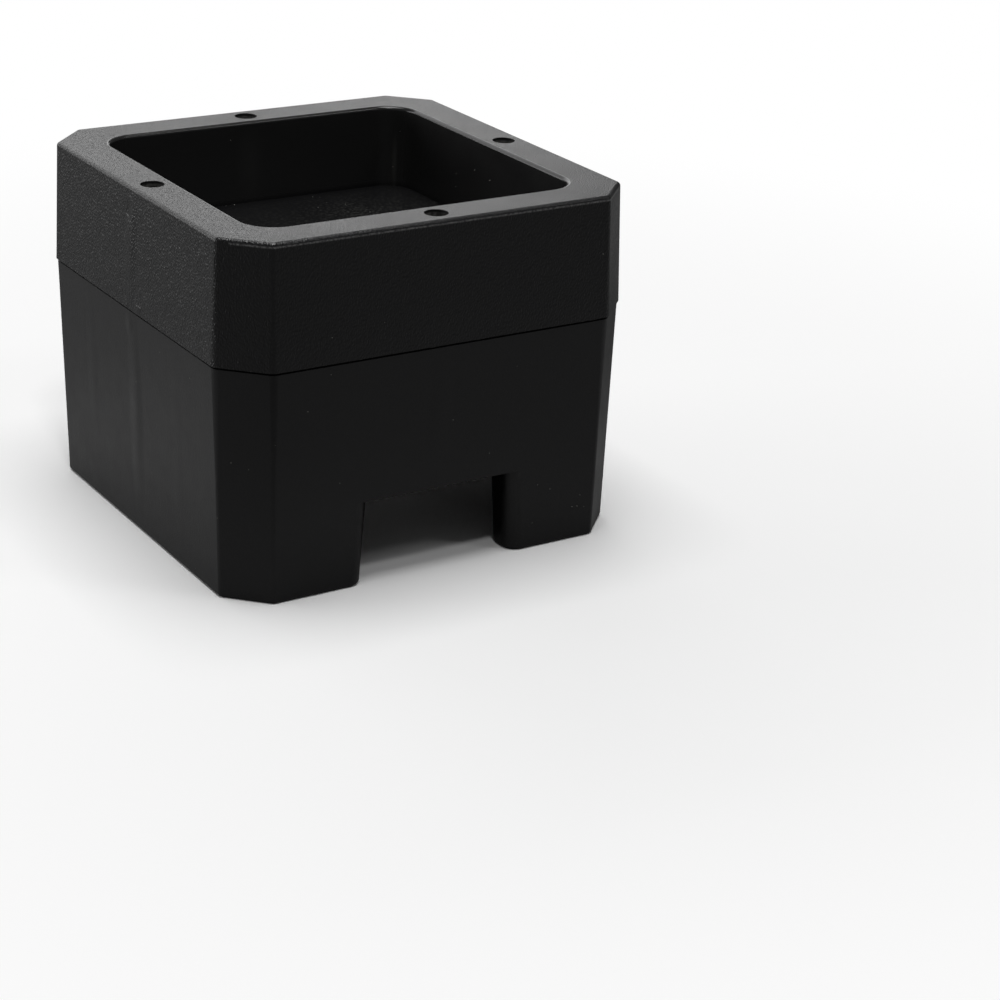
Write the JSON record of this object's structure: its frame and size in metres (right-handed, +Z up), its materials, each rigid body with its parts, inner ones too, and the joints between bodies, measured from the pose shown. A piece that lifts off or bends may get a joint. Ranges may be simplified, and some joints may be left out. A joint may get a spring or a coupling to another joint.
{
  "type": "bed riser",
  "caption": "Square moulded block that raises a bed's leg, with a shallow cup on top, cut-off corners, and a notched ring of walls round a wheel trough underneath.",
  "frame": {"origin": "centre of the base, on the floor", "axes": "+Z up; the walls with the notches face -Y and +Y"},
  "size_m": [0.096, 0.096, 0.076],
  "materials": {
    "black_plastic": "semi-matte, with a fine grain above the parting line and a smoother skirt below it"
  },
  "bodies": {
    "root": {"riser_block": "black_plastic"}
  },
  "joints": []
}
